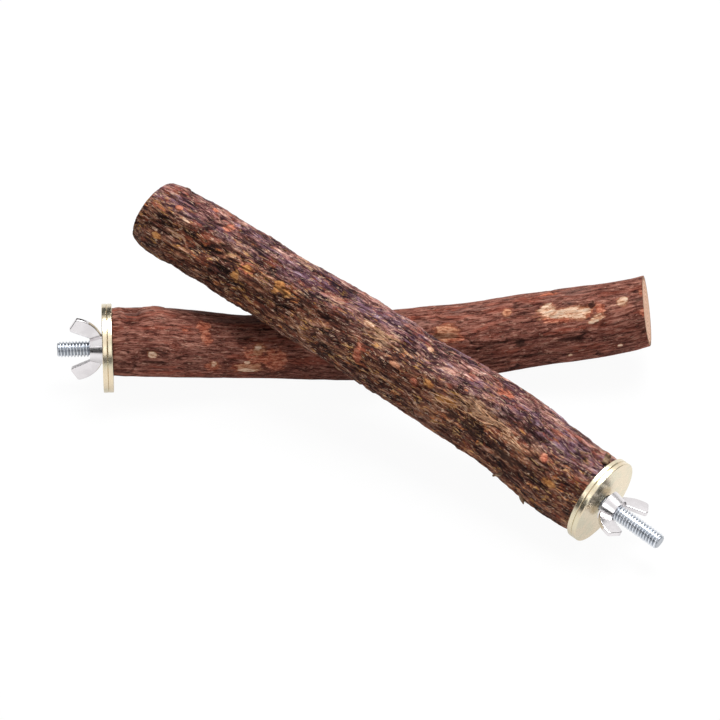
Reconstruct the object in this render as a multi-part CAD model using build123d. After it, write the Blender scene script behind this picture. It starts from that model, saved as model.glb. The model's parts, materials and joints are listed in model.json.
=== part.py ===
from build123d import *
import os
from dataclasses import dataclass
from math import asin, atan2, cos, degrees, exp, pi, radians, sin

# A crossed pair of natural branch perches for a bird cage. Each is a length of branch
# with its bark on, a hanger bolt screwed into one end, and two washers and a wing nut
# that clamp the cage wires. The front perch lies across the rear one, on a table.
# In a perch's own frame the stud is the X axis, X = 0 is the sawn face that the inner
# washer seats on, +X points out along the stud and the branch runs towards -X.

# Hanger bolt, a quarter-inch stud with twenty threads to the inch
STUD_RADIUS = 3.175
THREAD_PITCH = 1.27
THREAD_DEPTH = 0.70
CREST_WIDTH = 0.32
ROOT_WIDTH = 0.20
WORKED_CREST_DROP = 0.19        # crests between nut and wood are worn below the free ones
TIP_CHAMFER = 0.9
BOLT_LENGTH = 63.5
SCREW_LENGTH = 27.0             # wood screw half, point included
SCREW_CREST_RADIUS = 3.0
SCREW_ROOT_RADIUS = 2.2
SCREW_PITCH = 2.6
SCREW_POINT_LENGTH = 6.0

# Washers
WASHER_RADIUS = 17.5
WASHER_THICKNESS = 2.0
WASHER_HOLE_CLEARANCE = 0.35
WASHER_EDGE_ROUND = 0.35

# Wing nut
NUT_FIT_CLEARANCE = 0.05
NUT_BASE_RADIUS = 6.3
NUT_TOP_RADIUS = 5.0
NUT_COLLAR_HEIGHT = 5.0
NUT_BORE_CHAMFER = 0.4
WING_TIP_RADIUS = 13.6          # half the span over the wings
WING_TIP_HEIGHT = 10.0          # outer corner of a wing above the washer
WING_TOP_HEIGHT = 13.2          # inner corner of a wing above the washer
WING_TOP_RADIUS = 8.6
WING_BELLY = 1.6                # how far the outer edge bulges from a straight line
WING_FOOT = 0.5
WING_THICKNESS = 2.0
WING_CORNER_ROUND = 1.1
WING_EDGE_ROUND = 0.35

# Branches
BARK_THICKNESS = 1.6
SECTION_POINTS = 12
RIDGED_SECTION_POINTS = 36      # where the bark has ridges
RIDGED_SPACING = 8.5            # between the sections of ridged bark, along the branch
END_ALLOWANCE = 12.0            # extra length that the end cuts take off
CUT_SIZE = 80.0

# How the pair lies
REAR_HEADING = 182.9            # direction of the rear stud, seen from above
FRONT_HEADING = -39.5           # direction of the front stud, seen from above
FRONT_SEAT_X = 186.3            # front washer seat from the rear one, in plan
FRONT_SEAT_Y = -84.2
REST_GAP = 0.25                 # between the two barks where they cross
START_DIP = 14.0                # dip of the front stud before it is lowered on to the rear perch
SETTLE_ROUNDS = 4


@dataclass
class Perch:
    """One perch: its branch, how far its stud stands out and how its nut is turned."""
    name: str
    length: float               # branch, from the washer seat to the free end
    radius: float               # mean radius over the bark
    stud_projection: float      # stud beyond the outer washer
    nut_gap: float              # wing nut backed off from the outer washer
    nut_turn: float             # wing nut about the stud, degrees
    stations: list              # (share of length, sideways bow, upward bow, share of radius)
    oval: float                 # out-of-roundness, share of radius
    oval_turn: float            # direction of the long axis at the seat, degrees
    oval_twist: float           # turn of the long axis over the length, degrees
    end_rake: float             # free end's cut, degrees from square
    end_rake_turn: float        # side to which it slopes, degrees round the branch
    ridges: list                # (count round the branch, turns over the length, start in degrees, height)
    swellings: list             # (share of length, side in degrees, half length, half width, height)


REAR = Perch(
    name="rear", length=210.2, radius=13.6, stud_projection=17.8, nut_gap=0.0, nut_turn=103.0,
    stations=[
        (0.00, 0.0, 3.4, 0.99), (0.12, 0.0, 1.4, 1.01), (0.23, 0.0, -0.9, 0.935),
        (0.34, 0.0, -2.0, 0.935), (0.45, 0.0, -2.9, 0.96), (0.56, 0.0, -2.1, 1.00),
        (0.67, 0.0, -1.1, 1.055), (0.78, 0.0, 2.9, 1.07), (0.89, 0.0, 6.6, 1.06),
        (1.00, 0.0, 11.8, 1.04),
    ],
    oval=0.02, oval_turn=25.0, oval_twist=140.0, end_rake=12.0, end_rake_turn=-26.0,
    ridges=[], swellings=[],
)
FRONT = Perch(
    name="front", length=211.5, radius=15.6, stud_projection=27.0, nut_gap=1.8, nut_turn=-12.0,
    stations=[
        (0.00, 0.1, 0.1, 1.02), (0.09, -0.4, 0.5, 1.05), (0.19, 0.1, 1.8, 1.02),
        (0.30, -0.9, 2.0, 0.995), (0.42, -2.4, 1.8, 0.97), (0.54, -4.0, 1.6, 0.96),
        (0.66, -6.0, 1.1, 0.95), (0.78, -8.3, 1.4, 0.945), (0.90, -11.2, 2.2, 0.955),
        (0.965, -13.0, 2.9, 0.945), (1.00, -13.9, 3.5, 0.87),
    ],
    oval=0.02, oval_turn=70.0, oval_twist=-110.0, end_rake=0.0, end_rake_turn=0.0,
    ridges=[(6, -3.2, 40.0, 0.36), (8, -3.3, 155.0, 0.34), (5, -3.0, 75.0, 0.28)],
    swellings=[
        (0.38, 144.0, 15.0, 5.0, 0.7), (0.27, 112.0, 17.0, 6.0, 0.8), (0.16, 152.0, 13.0, 5.0, 0.7),
        (0.275, 150.0, 10.0, 6.0, -0.8), (0.79, 48.0, 9.0, 5.0, 0.9), (0.55, 178.0, 16.0, 7.0, 0.6),
        (0.66, 118.0, 18.0, 7.0, 0.6), (0.88, 150.0, 14.0, 7.0, -0.5),
    ],
)

WASHER_STACK = 2 * WASHER_THICKNESS
SCREW_START = BOLT_LENGTH - SCREW_LENGTH


def relief(perch, share, angle):
    """Height of the bark's ridges, swellings and hollows over its mean surface."""
    height = 0.0
    for count, turns, start, rise in perch.ridges:
        height += rise * cos(count * angle + 2 * pi * turns * share + radians(start))
    for place, side, half_length, half_width, rise in perch.swellings:
        lengthwise = (share - place) * perch.length / half_length
        swing = (angle - radians(side) + pi) % (2 * pi) - pi
        crosswise = swing * perch.radius / half_width
        height += rise * exp(-lengthwise ** 2 - crosswise ** 2)
    return height


def section(perch, share, sideways, upward, girth, inset, ridged):
    """Closed curve across the branch at a station, drawn in from the bark by inset."""
    turn = radians(perch.oval_turn + perch.oval_twist * share)
    points = []
    count = RIDGED_SECTION_POINTS if ridged else SECTION_POINTS
    for index in range(count):
        angle = 2 * pi * index / count
        radius = perch.radius * girth * (1 + perch.oval * cos(2 * (angle - turn))) - inset
        if ridged:
            radius += relief(perch, share, angle)
        across = sideways + radius * cos(angle)
        above = upward + radius * sin(angle)
        points.append(Vector(-share * perch.length, across, above))
    return Wire(Edge.make_spline(points, periodic=True))


def row_at(stations, share):
    """Bows and girth at a share of the length, on smooth curves through the stations."""
    after = next(index for index, row in enumerate(stations) if index and row[0] >= share)
    (start, stop) = (stations[after - 1], stations[after])
    slopes = []
    for index in (after - 1, after):
        (a, b) = (stations[max(index - 1, 0)], stations[min(index + 1, len(stations) - 1)])
        slopes.append([(q - p) / (b[0] - a[0]) for p, q in zip(a, b)])
    step = stop[0] - start[0]
    t = (share - start[0]) / step
    row = [(2 * t ** 3 - 3 * t ** 2 + 1) * p + (3 * t ** 2 - 2 * t ** 3) * q
           + step * ((t ** 3 - 2 * t ** 2 + t) * m + (t ** 3 - t ** 2) * n)
           for p, q, m, n in zip(start, stop, *slopes)]
    return (share, *row[1:])


def branch_body(perch, inset, ridged=False):
    """The branch as one solid, carried on past both end cuts."""
    (first, last) = (perch.stations[0], perch.stations[-1])
    extra = END_ALLOWANCE / perch.length
    before = (first[0] - extra, *first[1:])
    step = (last[0] - perch.stations[-2][0])
    rise = [(b - a) / step * extra for a, b in zip(perch.stations[-2][1:3], last[1:3])]
    beyond = (last[0] + extra, last[1] + rise[0], last[2] + rise[1], last[3])
    stations = perch.stations
    if ridged:
        count = round(perch.length / RIDGED_SPACING)
        stations = [row_at(stations, index / count) for index in range(count + 1)]
    rows = [before, *stations, beyond]
    return Solid.make_loft([section(perch, *row, inset, ridged) for row in rows])


def between_cuts(perch):
    """The space between the sawn washer seat and the cut free end."""
    (_, sideways, upward, _) = perch.stations[-1]
    room = Box(perch.length + CUT_SIZE, CUT_SIZE, CUT_SIZE, align=(Align.MAX, Align.CENTER, Align.CENTER))
    free_end = Plane(origin=(-perch.length, sideways, upward), x_dir=(0, 1, 0), z_dir=(-1, 0, 0))
    free_end = free_end.rotated((perch.end_rake_turn, perch.end_rake, 0))
    waste = Box(3 * CUT_SIZE, 3 * CUT_SIZE, 2 * CUT_SIZE, align=(Align.CENTER, Align.CENTER, Align.MIN))
    return room - free_end * waste


def ring_profile(start, stop, pitch, root, crest_of, crest_width, root_width):
    """Thread outline as rings from start to stop, along -X: (x, radius) pairs."""
    points = []
    count = int((start - stop) / pitch)
    flank = (pitch - crest_width - root_width) / 2
    for index in range(count):
        edge = start - index * pitch
        crest = crest_of(edge - pitch / 2)
        points.append((edge - root_width / 2, root))
        points.append((edge - root_width / 2 - flank, crest))
        points.append((edge - root_width / 2 - flank - crest_width, crest))
        points.append((edge - pitch + root_width / 2, root))
    return points


def hanger_bolt(perch):
    """Machine thread outside, wood thread inside the branch, on one straight bolt."""
    tip = WASHER_STACK + perch.stud_projection
    nut_top = WASHER_STACK + perch.nut_gap + NUT_COLLAR_HEIGHT
    thread_end = tip - SCREW_START
    root = STUD_RADIUS - THREAD_DEPTH

    def machine_crest(x):
        return STUD_RADIUS if x > nut_top + THREAD_PITCH / 2 else STUD_RADIUS - WORKED_CREST_DROP

    machine = ring_profile(tip - TIP_CHAMFER, thread_end, THREAD_PITCH, root, machine_crest,
                           CREST_WIDTH, ROOT_WIDTH)
    point_start = tip - BOLT_LENGTH + SCREW_POINT_LENGTH
    screw = ring_profile(machine[-1][0] - SCREW_PITCH, point_start, SCREW_PITCH, SCREW_ROOT_RADIUS,
                         lambda x: SCREW_CREST_RADIUS, CREST_WIDTH, SCREW_PITCH / 2)
    outline = [(tip, 0), (tip, root - ROOT_WIDTH), *machine, *screw,
               (point_start, SCREW_ROOT_RADIUS), (tip - BOLT_LENGTH, 0)]
    face = make_face(Polyline(*outline, close=True))
    return revolve(face, axis=Axis.X)


def washer(seat):
    """A round washer with its inner face at x = seat."""
    along = Plane(origin=(seat, 0, 0), z_dir=(1, 0, 0))
    rim = Cylinder(WASHER_RADIUS, WASHER_THICKNESS, align=(Align.CENTER, Align.CENTER, Align.MIN))
    rim = fillet(rim.edges(), WASHER_EDGE_ROUND)
    hole = Cylinder(STUD_RADIUS + WASHER_HOLE_CLEARANCE, 3 * WASHER_THICKNESS)
    return along * (rim - hole)


def wing(bore):
    """One wing as a flat plate: height above the washer along Z, out from the stud along X."""
    foot = (NUT_BASE_RADIUS, WING_FOOT)
    tip = (WING_TIP_RADIUS, WING_TIP_HEIGHT)
    slope = atan2(tip[1] - foot[1], tip[0] - foot[0])
    middle = ((foot[0] + tip[0]) / 2 + WING_BELLY * sin(slope),
              (foot[1] + tip[1]) / 2 - WING_BELLY * cos(slope))
    inner = bore + (NUT_TOP_RADIUS - bore) / 2
    outline = [
        ThreePointArc(foot, middle, tip),
        Polyline(tip, (WING_TOP_RADIUS, WING_TOP_HEIGHT), (NUT_TOP_RADIUS, NUT_COLLAR_HEIGHT),
                 (inner, NUT_COLLAR_HEIGHT - WING_FOOT), (inner, WING_FOOT), foot),
    ]
    face = make_face(outline)
    corners = [v for v in face.vertices() if v.Y > NUT_COLLAR_HEIGHT + WING_FOOT]
    face = fillet(corners, WING_CORNER_ROUND)
    plate = extrude(Plane.XZ * face, WING_THICKNESS / 2, both=True)
    rims = [e for e in plate.edges() if e.center().X > NUT_TOP_RADIUS and abs(e.center().Y) > WING_EDGE_ROUND]
    return fillet(rims, WING_EDGE_ROUND)


def wing_nut(perch):
    """Tapered collar with a plain bore and two wings, seated on the outer washer."""
    bore = STUD_RADIUS + NUT_FIT_CLEARANCE
    collar = Cone(NUT_BASE_RADIUS, NUT_TOP_RADIUS, NUT_COLLAR_HEIGHT,
                  align=(Align.CENTER, Align.CENTER, Align.MIN))
    plate = wing(bore)
    body = collar.rotate(Axis.Z, 90) + [plate, plate.rotate(Axis.Z, 180)]
    body -= Cylinder(bore, 3 * NUT_COLLAR_HEIGHT)
    for height, flip in ((0, 1), (NUT_COLLAR_HEIGHT, -1)):
        mouth = Cone(bore + NUT_BORE_CHAMFER, bore, NUT_BORE_CHAMFER,
                     align=(Align.CENTER, Align.CENTER, Align.MIN))
        body -= Plane(origin=(0, 0, height), z_dir=(0, 0, flip)) * mouth
    seat = Plane(origin=(WASHER_STACK + perch.nut_gap, 0, 0), x_dir=(0, 1, 0), z_dir=(1, 0, 0))
    return seat * body.rotate(Axis.Z, perch.nut_turn)


def pieces_of(perch):
    """The six pieces of a perch, in its own frame."""
    bolt = hanger_bolt(perch)
    core = branch_body(perch, BARK_THICKNESS)
    room = between_cuts(perch)
    return {
        "bark": (branch_body(perch, 0, ridged=bool(perch.ridges)) - core) & room,
        "wood": (core & room) - bolt,
        "hanger_bolt": bolt,
        "inner_washer": washer(0),
        "outer_washer": washer(WASHER_THICKNESS),
        "wing_nut": wing_nut(perch),
    }


def on_table(heading, dip, plan_x, plan_y):
    """Frame of a perch whose washers stand on the table, its stud dipping outwards."""
    (turn, fall) = (radians(heading), radians(dip))
    outward = Vector(cos(turn) * cos(fall), sin(turn) * cos(fall), -sin(fall))
    up = Vector(cos(turn) * sin(fall), sin(turn) * sin(fall), cos(fall))
    height = WASHER_RADIUS * cos(fall) + max(0.0, WASHER_STACK * sin(fall))
    return Plane(origin=(plan_x, plan_y, height), x_dir=outward, z_dir=up)


def rear_frame(bark):
    """Tip the rear perch until the belly of its branch touches the table too."""
    dip = 0.0
    for _ in range(SETTLE_ROUNDS):
        lowest = (on_table(REAR_HEADING, dip, 0, 0) * bark).bounding_box().min.Z
        dip -= degrees(asin(lowest / (REAR.length / 2)))
    return on_table(REAR_HEADING, dip, 0, 0)


def front_frame(bark, rear_bark):
    """Lower the front perch until its bark lies on the rear one, REST_GAP apart."""
    dip = START_DIP
    for _ in range(SETTLE_ROUNDS):
        lying = on_table(FRONT_HEADING, dip, FRONT_SEAT_X, FRONT_SEAT_Y) * bark
        (gap, touch, _) = lying.distance_to_with_closest_points(rear_bark)
        reach = (touch - Vector(FRONT_SEAT_X, FRONT_SEAT_Y, touch.Z)).length
        dip -= degrees(asin((gap - REST_GAP) / reach))
    return on_table(FRONT_HEADING, dip, FRONT_SEAT_X, FRONT_SEAT_Y)


def assemble():
    """Every piece of the pair where it lies, with the origin under the middle of the pair."""
    (rear, front) = (pieces_of(REAR), pieces_of(FRONT))
    rear_lies = rear_frame(rear["bark"])
    front_lies = front_frame(front["bark"], rear_lies * rear["bark"])
    placed = {}
    for perch, frame, pieces in ((REAR, rear_lies, rear), (FRONT, front_lies, front)):
        for name, solid in pieces.items():
            placed[f"{perch.name}_{name}"] = frame * solid
    boxes = [solid.bounding_box() for solid in placed.values()]
    lows = [min(tuple(box.min)[axis] for box in boxes) for axis in range(3)]
    highs = [max(tuple(box.max)[axis] for box in boxes) for axis in range(3)]
    shift = Vector(-(lows[0] + highs[0]) / 2, -(lows[1] + highs[1]) / 2, -lows[2])
    centred = {name: Pos(*shift) * solid for name, solid in placed.items()}
    frames = {perch.name: Plane(origin=frame.origin + shift, x_dir=frame.x_dir, z_dir=frame.z_dir)
              for perch, frame in ((REAR, rear_lies), (FRONT, front_lies))}
    return centred, frames


nodes, frames = assemble()
os.makedirs("parts", exist_ok=True)
for name, solid in nodes.items():
    export_step(solid, f"parts/{name}.step")
for name, frame in frames.items():
    print(name, "seat", frame.origin, "stud", frame.x_dir, "up", frame.z_dir)
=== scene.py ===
"""Looks of a crossed pair of branch perches: bark, sawn ends, threaded studs, washers and wing nuts."""
import json
import math
from dataclasses import dataclass

import bpy
import numpy as np
from mathutils import Matrix, Vector
from mathutils.bvhtree import BVHTree


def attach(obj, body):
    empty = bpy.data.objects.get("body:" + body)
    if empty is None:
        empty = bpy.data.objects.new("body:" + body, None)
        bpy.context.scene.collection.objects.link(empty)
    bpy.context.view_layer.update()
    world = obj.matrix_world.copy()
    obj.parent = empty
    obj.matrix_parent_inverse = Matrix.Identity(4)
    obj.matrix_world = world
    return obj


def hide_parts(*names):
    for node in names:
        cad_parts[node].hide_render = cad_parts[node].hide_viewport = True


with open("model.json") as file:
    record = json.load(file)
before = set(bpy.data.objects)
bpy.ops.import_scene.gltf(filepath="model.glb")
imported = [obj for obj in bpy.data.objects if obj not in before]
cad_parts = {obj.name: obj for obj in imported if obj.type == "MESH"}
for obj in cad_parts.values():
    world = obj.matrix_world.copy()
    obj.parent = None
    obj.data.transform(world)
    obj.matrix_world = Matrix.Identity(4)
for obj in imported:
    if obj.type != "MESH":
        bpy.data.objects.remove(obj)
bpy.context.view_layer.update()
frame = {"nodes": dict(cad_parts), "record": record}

MM = 0.001

# The photograph's camera: it looks down on the pair from the front
PHOTO_PIXELS = 720
VIEW_ELEVATION = math.radians(43.0)
VIEW_AZIMUTH = math.radians(-0.2)
VIEW_DISTANCE = 1.8
VIEW_TARGET = Vector((0.0019, 0.0399, 0.0))
METRES_PER_PIXEL = 0.0003975
SENSOR_MM = 36.0

# Studio
AMBIENT = 0.31
FLOOR_GLOW = 0.95
FLOOR_IN_METAL = 0.70
LAMPS = {
    "key_softbox": ((0.30, 0.40, 1.40), 0.9, 31.0),
    "front_fill": ((-0.7, -1.3, 0.9), 1.2, 7.0),
}
CARDS = {
    "left_card": ((-0.42, -0.12, 0.25), 0.85, 0.40),
    "right_card": ((0.42, -0.05, 0.20), 0.70, 0.30),
    "back_card": ((-0.17, 0.62, 0.46), 0.76, 0.72),
    "front_card": ((0.0, -0.62, 0.17), 0.90, 0.24),
}

# Bark and wood meshes
ROWS_ALONG = 380
POINTS_AROUND = 240
INNER_ROWS = 14
RIM_ROWS = 4
CALM_END = 6.0                  # millimetres from a sawn rim within which the relief is lower
CALM_SHARE = 0.3                # share of the relief left at the rim itself
ROUND_REACH = 22                # points to each side over which the free end's ring is evened out
END_MARGIN = 0.0004             # share of the length by which the first and last ring stay inside the cuts
FACES_END = 0.9                 # a face turned this far along the branch may be its sawn end
END_DEPTH = 0.8                 # and it lies beyond this share of the length
RAY_START = 0.05
CENTRE_ROUNDS = 3
CENTRE_RAYS = 24
WOOD_INSET = 0.03 * MM
WOOD_RINGS = 36
TABLE_GAP = 0.02 * MM
SPLINTER_RINGS = 7
SPLINTER_SIDES = 8
SPLINTER_ROOT = -0.3            # share of a splinter's reach that lies inside the bark
MARK_SEED = 500
MARK_EDGE = (1.45, 0.45)        # in half sizes: where a mark begins and where it is full
RAGGED_REACH = 2.4

# Frayed fibres
FIBRE_DENSITY = 1.7e5
FIBRE_LENGTH = 8.5 * MM
FIBRE_THICKNESS = 0.13 * MM
FIBRE_LIFT = 0.6 * MM
FIBRE_SEED = 4

# Hanger bolt
WASHER_THICKNESS = 2.0 * MM
THREAD_CREST = 3.15 * MM
THREAD_DEPTH = 0.68 * MM
THREAD_PITCH = 1.27 * MM
TIP_RADIUS = 2.35 * MM
SCREW_LENGTH = 27.0 * MM
SCREW_CREST = 3.0 * MM
SCREW_DEPTH = 0.8 * MM
SCREW_PITCH = 2.6 * MM
SCREW_POINT = 0.3 * MM
SCREW_SLOPE = 0.45
BOLT_LENGTH = 63.5 * MM
THREAD_CAP = 0.4 * MM           # run of the grid that closes each end
THREAD_COLUMNS = 65
STUD_ROWS = 460
SCREW_ROWS = 200
NO_LIMIT = 10.0 * MM            # a radius larger than any thread's


class Value:
    """An output of a node tree; sums on values add Math nodes."""

    def __init__(self, recipe, socket):
        self.recipe = recipe
        self.socket = socket

    def math(self, operation, *others, flip=False):
        terms = (*others, self) if flip else (self, *others)
        return self.recipe.add("ShaderNodeMath", {"operation": operation}, dict(enumerate(terms)))

    def __add__(self, other):
        return self.math("ADD", other)

    def __sub__(self, other):
        return self.math("SUBTRACT", other)

    def __rsub__(self, other):
        return self.math("SUBTRACT", other, flip=True)

    def __mul__(self, other):
        return self.math("MULTIPLY", other)

    def __truediv__(self, other):
        return self.math("DIVIDE", other)

    def __rtruediv__(self, other):
        return self.math("DIVIDE", other, flip=True)

    __radd__ = __add__
    __rmul__ = __mul__

    def clamped(self):
        return self.math("MINIMUM", 1.0).math("MAXIMUM", 0.0)

    def ramp(self, low, high):
        """0 before low, 1 after high and a smooth change between them; low may be the larger."""
        share = ((self - low) / (high - low)).clamped()
        return share * share * (3.0 - 2.0 * share)


class Recipe:
    """A node tree being written."""

    def __init__(self, tree):
        self.tree = tree

    def add(self, kind, settings=None, sockets=None, out=0):
        node = self.tree.nodes.new(kind)
        for key, value in (settings or {}).items():
            if key == "stops":
                self.fill_stops(node.color_ramp, value)
            else:
                setattr(node, key, value)
        for key, value in (sockets or {}).items():
            if isinstance(value, Value):
                self.tree.links.new(value.socket, node.inputs[key])
            else:
                node.inputs[key].default_value = value
        return Value(self, node.outputs[out])

    @staticmethod
    def fill_stops(ramp, stops):
        while len(ramp.elements) < len(stops):
            ramp.elements.new(1.0)
        for element, (place, colour) in zip(ramp.elements, stops):
            element.position = place
            element.color = (*colour, 1.0)


class Finish(Recipe):
    """A material: one Principled shader fed by values."""

    def __init__(self, name):
        self.material = bpy.data.materials.new(name)
        self.material.use_nodes = True
        super().__init__(self.material.node_tree)
        self.shader = self.tree.nodes["Principled BSDF"]

    def set(self, **sockets):
        for key, value in sockets.items():
            socket = self.shader.inputs[key.replace("_", " ")]
            if isinstance(value, Value):
                self.tree.links.new(value.socket, socket)
            else:
                socket.default_value = value
        return self.material

    def attribute(self, name, out="Fac"):
        return self.add("ShaderNodeAttribute", {"attribute_name": name}, out=out)

    def noise(self, at, along, across, detail=3.0, roughness=0.6, shift=0.0):
        """Noise over bark coordinates in millimetres, with its own frequency along and across the grain."""
        place = self.add("ShaderNodeMapping", {"vector_type": "POINT"}, {
            "Vector": at, "Location": (shift, shift, shift), "Scale": (along, across, across)})
        return self.add("ShaderNodeTexNoise", {"noise_dimensions": "3D"}, {
            "Vector": place, "Scale": 1.0, "Detail": detail, "Roughness": roughness})

    def warped(self, at, frequency, reach):
        """Bark coordinates pushed about by broad noise, so that the grain wanders."""
        drift = self.add("ShaderNodeTexNoise", {"noise_dimensions": "3D"}, {
            "Vector": at, "Scale": frequency, "Detail": 1.0}, out="Color")
        push = self.add("ShaderNodeVectorMath", {"operation": "MULTIPLY_ADD"}, {
            0: drift, 1: (reach, reach, reach), 2: at})
        return push

    def blend(self, factor, first, second, way="MIX"):
        return self.add("ShaderNodeMix", {"data_type": "RGBA", "blend_type": way, "clamp_factor": True},
                        {0: factor, 6: first, 7: second}, out=2)

    def colours(self, value, *stops):
        return self.add("ShaderNodeValToRGB", {"stops": stops}, {"Fac": value})

    def bump(self, height, strength, distance):
        return self.add("ShaderNodeBump", None, {
            "Height": height, "Strength": strength, "Distance": distance})


def rgb(red, green, blue):
    return (red, green, blue, 1.0)


# Noise over whole arrays of points

def lattice(cells, seed):
    """A repeatable number from 0 to 1 for each whole-number cell."""
    mixed = (cells[..., 0] * 374761393 + cells[..., 1] * 668265263 + cells[..., 2] * 1103515245
             + seed * 97531) & 0xFFFFFFFF
    mixed = ((mixed ^ (mixed >> 13)) * 1274126177) & 0xFFFFFFFF
    return ((mixed ^ (mixed >> 16)) & 0xFFFF) / 0xFFFF


def grain_noise(points, along, across, seed):
    """Smooth noise from 0 to 1 at bark points, with a frequency along and one across the grain."""
    spots = points * np.array((along, across, across))
    cells = np.floor(spots).astype(np.int64)
    part = spots - cells
    part = part * part * part * (part * (part * 6 - 15) + 10)
    total = 0
    for corner in np.ndindex(2, 2, 2):
        weight = np.prod(np.where(corner, part, 1 - part), axis=-1)
        total = total + weight * lattice(cells + np.array(corner), seed)
    return total


def layered_noise(points, along, across, seed, layers=3):
    shares = [0.5 ** n for n in range(layers)]
    total = sum(share * grain_noise(points, along / share, across / share, seed + n)
                for n, share in enumerate(shares))
    return total / sum(shares)


def ease(values, low, high):
    share = np.clip((values - low) / (high - low), 0, 1)
    return share * share * (3 - 2 * share)


# Rays of the photograph

def view_axes():
    ahead = Vector((-math.sin(VIEW_AZIMUTH) * math.cos(VIEW_ELEVATION),
                    math.cos(VIEW_AZIMUTH) * math.cos(VIEW_ELEVATION), -math.sin(VIEW_ELEVATION)))
    right = Vector((math.cos(VIEW_AZIMUTH), math.sin(VIEW_AZIMUTH), 0))
    return right, right.cross(ahead), ahead


def photo_ray(pixel):
    """Start and direction of the ray through a pixel of the photograph."""
    right, up, ahead = view_axes()
    focal = VIEW_DISTANCE / METRES_PER_PIXEL
    across = (pixel[0] - PHOTO_PIXELS / 2) / focal
    above = (PHOTO_PIXELS / 2 - pixel[1]) / focal
    return VIEW_TARGET - ahead * VIEW_DISTANCE, (ahead + right * across + up * above).normalized()


# Meshes

def mesh_object(name, points, faces, attributes=None, smooth=True):
    mesh = bpy.data.meshes.new(name)
    mesh.from_pydata(points.reshape(-1, 3).tolist(), [], faces)
    for key, values in (attributes or {}).items():
        is_vector = values.ndim == 2
        layer = mesh.attributes.new(key, "FLOAT_VECTOR" if is_vector else "FLOAT", "POINT")
        layer.data.foreach_set("vector" if is_vector else "value", values.astype(np.float32).ravel())
    mesh.polygons.foreach_set("use_smooth", [smooth] * len(mesh.polygons))
    turn_outward(mesh)
    mesh.update()
    return show(name, mesh)


def show(name, mesh):
    piece = bpy.data.objects.new(name, mesh)
    bpy.context.scene.collection.objects.link(piece)
    return piece


def triangles_of(mesh):
    points = np.empty(len(mesh.vertices) * 3)
    mesh.vertices.foreach_get("co", points)
    mesh.calc_loop_triangles()
    corners = np.empty(len(mesh.loop_triangles) * 3, np.int32)
    mesh.loop_triangles.foreach_get("vertices", corners)
    return points.reshape(-1, 3), corners.reshape(-1, 3)


def turn_outward(mesh):
    """Flip the faces if the mesh is inside out, which its signed volume shows."""
    points, corners = triangles_of(mesh)
    a, b, c = (points[corners[:, n]] for n in range(3))
    if (a * np.cross(b, c)).sum() < 0:
        mesh.flip_normals()


def ring_quads(rows, around, joined):
    """Faces between rings of points; the last ring meets the first if the tube is joined."""
    index = np.arange(rows * around).reshape(rows, around)
    near = index if joined else index[:-1]
    far = np.roll(index, -1, axis=0) if joined else index[1:]
    quads = np.stack([near, np.roll(near, -1, axis=1), np.roll(far, -1, axis=1), far], axis=2)
    return quads.reshape(-1, 4).tolist()


# Branches

@dataclass
class Mark:
    """A mark on the bark, at a pixel of the photograph, with half sizes in millimetres."""
    kind: str
    pixel: tuple
    length: float
    width: float
    turn: float = 0.0
    lift: float = 0.0
    ragged: float = 0.5


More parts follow.
